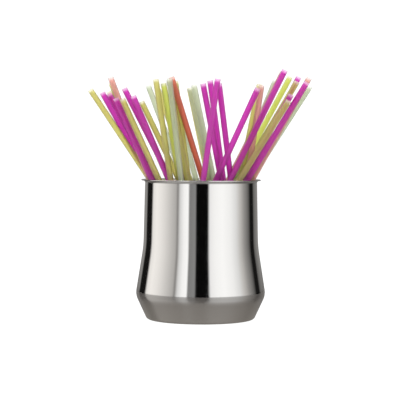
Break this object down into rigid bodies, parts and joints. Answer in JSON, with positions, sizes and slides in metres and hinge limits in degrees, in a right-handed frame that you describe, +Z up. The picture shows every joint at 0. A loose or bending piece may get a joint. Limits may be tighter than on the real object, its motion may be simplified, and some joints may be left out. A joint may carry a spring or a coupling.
{
  "type": "straw holder",
  "caption": "Flared and waisted cup of mirror-polished steel that stands on a flat foot and holds a loose fan of straight translucent drinking straws.",
  "frame": {"origin": "middle of the cup's foot, on the plane that it stands on", "axes": "+Z up along the cup's axis, the pictured front faces -Y, +X to the right"},
  "size_m": [0.1986, 0.1282, 0.2186],
  "materials": {
    "steel": "mirror polished stainless steel",
    "straw_magenta": "extruded translucent magenta polypropylene",
    "straw_yellow": "extruded translucent yellow polypropylene",
    "straw_lime": "extruded translucent lime polypropylene",
    "straw_mint": "extruded translucent mint polypropylene",
    "straw_coral": "extruded translucent coral polypropylene",
    "straw_orange": "extruded translucent orange polypropylene"
  },
  "bodies": {
    "cup": {"cup": "steel"},
    "straw_01_yellow": {"straw_01_yellow": "straw_yellow"},
    "straw_02_magenta": {"straw_02_magenta": "straw_magenta"},
    "straw_03_yellow": {"straw_03_yellow": "straw_yellow"},
    "straw_04_magenta": {"straw_04_magenta": "straw_magenta"},
    "straw_05_coral": {"straw_05_coral": "straw_coral"},
    "straw_06_magenta": {"straw_06_magenta": "straw_magenta"},
    "straw_07_yellow": {"straw_07_yellow": "straw_yellow"},
    "straw_08_yellow": {"straw_08_yellow": "straw_yellow"},
    "straw_09_magenta": {"straw_09_magenta": "straw_magenta"},
    "straw_10_magenta": {"straw_10_magenta": "straw_magenta"},
    "straw_11_mint": {"straw_11_mint": "straw_mint"},
    "straw_12_mint": {"straw_12_mint": "straw_mint"},
    "straw_13_yellow": {"straw_13_yellow": "straw_yellow"},
    "straw_14_yellow": {"straw_14_yellow": "straw_yellow"},
    "straw_15_yellow": {"straw_15_yellow": "straw_yellow"},
    "straw_16_lime": {"straw_16_lime": "straw_lime"},
    "straw_17_mint": {"straw_17_mint": "straw_mint"},
    "straw_18_mint": {"straw_18_mint": "straw_mint"},
    "straw_19_yellow": {"straw_19_yellow": "straw_yellow"},
    "straw_20_yellow": {"straw_20_yellow": "straw_yellow"},
    "straw_21_orange": {"straw_21_orange": "straw_orange"},
    "straw_22_mint": {"straw_22_mint": "straw_mint"},
    "straw_23_mint": {"straw_23_mint": "straw_mint"},
    "straw_24_yellow": {"straw_24_yellow": "straw_yellow"},
    "straw_25_magenta": {"straw_25_magenta": "straw_magenta"},
    "straw_26_magenta": {"straw_26_magenta": "straw_magenta"},
    "straw_27_magenta": {"straw_27_magenta": "straw_magenta"},
    "straw_28_magenta": {"straw_28_magenta": "straw_magenta"},
    "straw_29_magenta": {"straw_29_magenta": "straw_magenta"},
    "straw_30_coral": {"straw_30_coral": "straw_coral"},
    "straw_31_yellow": {"straw_31_yellow": "straw_yellow"},
    "straw_32_mint": {"straw_32_mint": "straw_mint"},
    "straw_33_magenta": {"straw_33_magenta": "straw_magenta"},
    "straw_34_coral": {"straw_34_coral": "straw_coral"},
    "straw_35_yellow": {"straw_35_yellow": "straw_yellow"},
    "straw_36_lime": {"straw_36_lime": "straw_lime"},
    "straw_37_magenta": {"straw_37_magenta": "straw_magenta"},
    "straw_38_magenta": {"straw_38_magenta": "straw_magenta"},
    "straw_39_magenta": {"straw_39_magenta": "straw_magenta"},
    "straw_40_yellow": {"straw_40_yellow": "straw_yellow"},
    "straw_41_coral": {"straw_41_coral": "straw_coral"},
    "straw_42_mint": {"straw_42_mint": "straw_mint"}
  },
  "joints": [
    {"name": "straw_01_lift", "type": "slide", "parent": "cup", "child": "straw_01_yellow", "axis": [-0.5573, 0.0607, 0.8281], "range_m": [0, 0.155]},
    {"name": "straw_02_lift", "type": "slide", "parent": "cup", "child": "straw_02_magenta", "axis": [-0.4873, -0.0026, 0.8732], "range_m": [0, 0.155]},
    {"name": "straw_03_lift", "type": "slide", "parent": "cup", "child": "straw_03_yellow", "axis": [-0.3967, 0.072, 0.9151], "range_m": [0, 0.155]},
    {"name": "straw_04_lift", "type": "slide", "parent": "cup", "child": "straw_04_magenta", "axis": [-0.4915, 0.0358, 0.8702], "range_m": [0, 0.155]},
    {"name": "straw_05_lift", "type": "slide", "parent": "cup", "child": "straw_05_coral", "axis": [-0.3611, 0.0075, 0.9325], "range_m": [0, 0.155]},
    {"name": "straw_06_lift", "type": "slide", "parent": "cup", "child": "straw_06_magenta", "axis": [-0.412, 0.053, 0.9097], "range_m": [0, 0.155]},
    {"name": "straw_07_lift", "type": "slide", "parent": "cup", "child": "straw_07_yellow", "axis": [-0.4182, 0.0621, 0.9062], "range_m": [0, 0.155]},
    {"name": "straw_08_lift", "type": "slide", "parent": "cup", "child": "straw_08_yellow", "axis": [-0.473, 0.0337, 0.8804], "range_m": [0, 0.155]},
    {"name": "straw_09_lift", "type": "slide", "parent": "cup", "child": "straw_09_magenta", "axis": [-0.4503, -0.112, 0.8859], "range_m": [0, 0.155]},
    {"name": "straw_10_lift", "type": "slide", "parent": "cup", "child": "straw_10_magenta", "axis": [-0.3967, 0.0123, 0.9178], "range_m": [0, 0.155]},
    {"name": "straw_11_lift", "type": "slide", "parent": "cup", "child": "straw_11_mint", "axis": [-0.4025, -0.0479, 0.9142], "range_m": [0, 0.155]},
    {"name": "straw_12_lift", "type": "slide", "parent": "cup", "child": "straw_12_mint", "axis": [-0.3483, 0.2174, 0.9118], "range_m": [0, 0.155]},
    {"name": "straw_13_lift", "type": "slide", "parent": "cup", "child": "straw_13_yellow", "axis": [-0.4348, 0.0637, 0.8983], "range_m": [0, 0.155]},
    {"name": "straw_14_lift", "type": "slide", "parent": "cup", "child": "straw_14_yellow", "axis": [-0.3318, 0.2696, 0.904], "range_m": [0, 0.155]},
    {"name": "straw_15_lift", "type": "slide", "parent": "cup", "child": "straw_15_yellow", "axis": [-0.15, -0.0266, 0.9883], "range_m": [0, 0.155]},
    {"name": "straw_16_lift", "type": "slide", "parent": "cup", "child": "straw_16_lime", "axis": [-0.1627, -0.1751, 0.971], "range_m": [0, 0.155]},
    {"name": "straw_17_lift", "type": "slide", "parent": "cup", "child": "straw_17_mint", "axis": [-0.1176, -0.0854, 0.9894], "range_m": [0, 0.155]},
    {"name": "straw_18_lift", "type": "slide", "parent": "cup", "child": "straw_18_mint", "axis": [-0.262, 0.1151, 0.9582], "range_m": [0, 0.155]},
    {"name": "straw_19_lift", "type": "slide", "parent": "cup", "child": "straw_19_yellow", "axis": [-0.1839, 0.0332, 0.9824], "range_m": [0, 0.155]},
    {"name": "straw_20_lift", "type": "slide", "parent": "cup", "child": "straw_20_yellow", "axis": [-0.1339, -0.1379, 0.9814], "range_m": [0, 0.155]},
    {"name": "straw_21_lift", "type": "slide", "parent": "cup", "child": "straw_21_orange", "axis": [-0.2882, -0.239, 0.9273], "range_m": [0, 0.155]},
    {"name": "straw_22_lift", "type": "slide", "parent": "cup", "child": "straw_22_mint", "axis": [-0.2169, 0.1401, 0.9661], "range_m": [0, 0.155]},
    {"name": "straw_23_lift", "type": "slide", "parent": "cup", "child": "straw_23_mint", "axis": [-0.2056, 0.1167, 0.9717], "range_m": [0, 0.155]},
    {"name": "straw_24_lift", "type": "slide", "parent": "cup", "child": "straw_24_yellow", "axis": [-0.2054, 0.1468, 0.9676], "range_m": [0, 0.155]},
    {"name": "straw_25_lift", "type": "slide", "parent": "cup", "child": "straw_25_magenta", "axis": [-0.1905, -0.1533, 0.9697], "range_m": [0, 0.155]},
    {"name": "straw_26_lift", "type": "slide", "parent": "cup", "child": "straw_26_magenta", "axis": [-0.1279, -0.2067, 0.97], "range_m": [0, 0.155]},
    {"name": "straw_27_lift", "type": "slide", "parent": "cup", "child": "straw_27_magenta", "axis": [-0.1375, -0.0679, 0.9882], "range_m": [0, 0.155]},
    {"name": "straw_28_lift", "type": "slide", "parent": "cup", "child": "straw_28_magenta", "axis": [0.1373, -0.053, 0.9891], "range_m": [0, 0.155]},
    {"name": "straw_29_lift", "type": "slide", "parent": "cup", "child": "straw_29_magenta", "axis": [0.393, -0.255, 0.8835], "range_m": [0, 0.155]},
    {"name": "straw_30_lift", "type": "slide", "parent": "cup", "child": "straw_30_coral", "axis": [0.1342, -0.2129, 0.9678], "range_m": [0, 0.155]},
    {"name": "straw_31_lift", "type": "slide", "parent": "cup", "child": "straw_31_yellow", "axis": [0.19, -0.1193, 0.9745], "range_m": [0, 0.155]},
    {"name": "straw_32_lift", "type": "slide", "parent": "cup", "child": "straw_32_mint", "axis": [0.3725, -0.0881, 0.9238], "range_m": [0, 0.155]},
    {"name": "straw_33_lift", "type": "slide", "parent": "cup", "child": "straw_33_magenta", "axis": [0.4393, -0.0582, 0.8965], "range_m": [0, 0.155]},
    {"name": "straw_34_lift", "type": "slide", "parent": "cup", "child": "straw_34_coral", "axis": [0.4446, 0.012, 0.8956], "range_m": [0, 0.155]},
    {"name": "straw_35_lift", "type": "slide", "parent": "cup", "child": "straw_35_yellow", "axis": [0.5066, -0.2028, 0.838], "range_m": [0, 0.155]},
    {"name": "straw_36_lift", "type": "slide", "parent": "cup", "child": "straw_36_lime", "axis": [0.4694, 0.0057, 0.8829], "range_m": [0, 0.155]},
    {"name": "straw_37_lift", "type": "slide", "parent": "cup", "child": "straw_37_magenta", "axis": [0.489, -0.1053, 0.8659], "range_m": [0, 0.155]},
    {"name": "straw_38_lift", "type": "slide", "parent": "cup", "child": "straw_38_magenta", "axis": [0.5164, 0.0092, 0.8563], "range_m": [0, 0.155]},
    {"name": "straw_39_lift", "type": "slide", "parent": "cup", "child": "straw_39_magenta", "axis": [0.4609, 0.1027, 0.8815], "range_m": [0, 0.155]},
    {"name": "straw_40_lift", "type": "slide", "parent": "cup", "child": "straw_40_yellow", "axis": [0.5017, -0.0825, 0.8611], "range_m": [0, 0.155]},
    {"name": "straw_41_lift", "type": "slide", "parent": "cup", "child": "straw_41_coral", "axis": [0.4793, -0.062, 0.8755], "range_m": [0, 0.155]},
    {"name": "straw_42_lift", "type": "slide", "parent": "cup", "child": "straw_42_mint", "axis": [0.5345, 0.0037, 0.8452], "range_m": [0, 0.155]}
  ]
}
